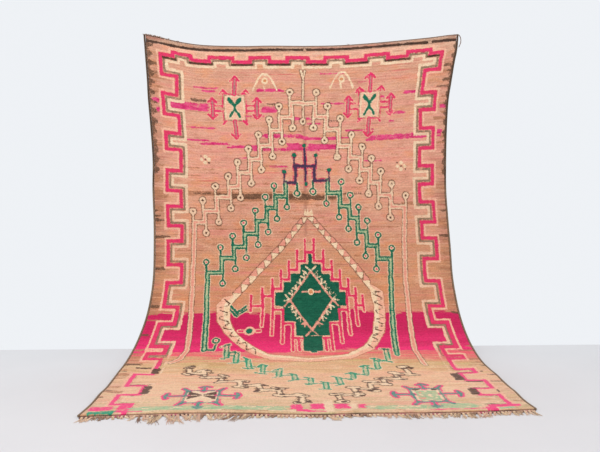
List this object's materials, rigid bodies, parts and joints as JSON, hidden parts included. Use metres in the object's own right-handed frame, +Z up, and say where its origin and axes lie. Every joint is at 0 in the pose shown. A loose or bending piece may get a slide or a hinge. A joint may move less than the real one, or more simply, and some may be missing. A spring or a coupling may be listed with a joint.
{
  "type": "moroccan rug",
  "caption": "Hand-knotted wool pile rug held up by its top edge, hanging to the floor and sweeping out over it, with selvedges and a short knotted fringe.",
  "frame": {"origin": "middle of the rug's top edge, in the plane of the wall behind it, 1.745 m above the floor", "axes": "+Z up, +Y into the wall, +X to the right as the rug's face is looked at; the part on the floor runs towards -Y"},
  "size_m": [1.8371, 1.1148, 1.831],
  "materials": {
    "pile": "matt wool pile in salmon, with pink, magenta, green and cream knots",
    "selvedge": "matt overcast wool, dark brown to olive grey",
    "end_cord": "matt twisted wool cord",
    "fringe": "matt undyed wool and cotton locks"
  },
  "bodies": {
    "root": {"pile_body": "pile", "selvedge_left": "selvedge", "selvedge_right": "selvedge", "end_cord": "end_cord", "fringe": "fringe"}
  },
  "joints": []
}
